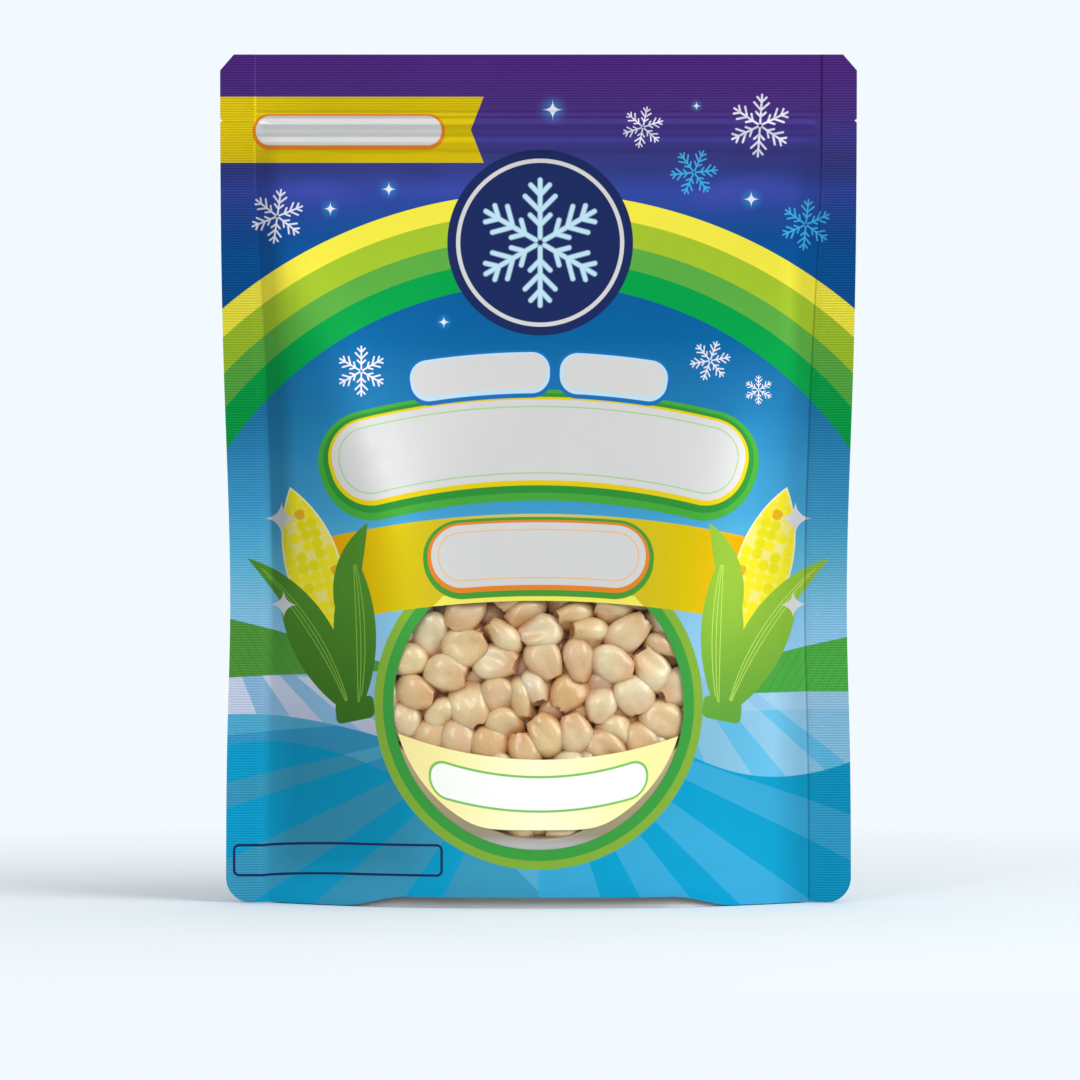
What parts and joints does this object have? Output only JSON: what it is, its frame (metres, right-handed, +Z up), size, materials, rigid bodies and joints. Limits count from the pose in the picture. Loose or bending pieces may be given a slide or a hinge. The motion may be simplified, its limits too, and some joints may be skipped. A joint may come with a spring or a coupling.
{
  "type": "stand-up food pouch",
  "caption": "Sealed stand-up pouch of freeze-dried corn with printed film, flat side seals, a press-to-close zipper, a bottom gusset and a round clear window.",
  "frame": {"origin": "on the floor under the middle of the pouch's base, halfway between its side edges and its two faces", "axes": "+X across the front to the right as seen from the front, -Y out of the front that has the window, +Z up towards the top seal"},
  "size_m": [0.1524, 0.045, 0.2032],
  "materials": {
    "printed_film": "satin",
    "clear_film": "gloss",
    "corn": "matte"
  },
  "bodies": {
    "root": {"pouch": "printed_film", "window": "clear_film", "corn": "corn"}
  },
  "joints": []
}
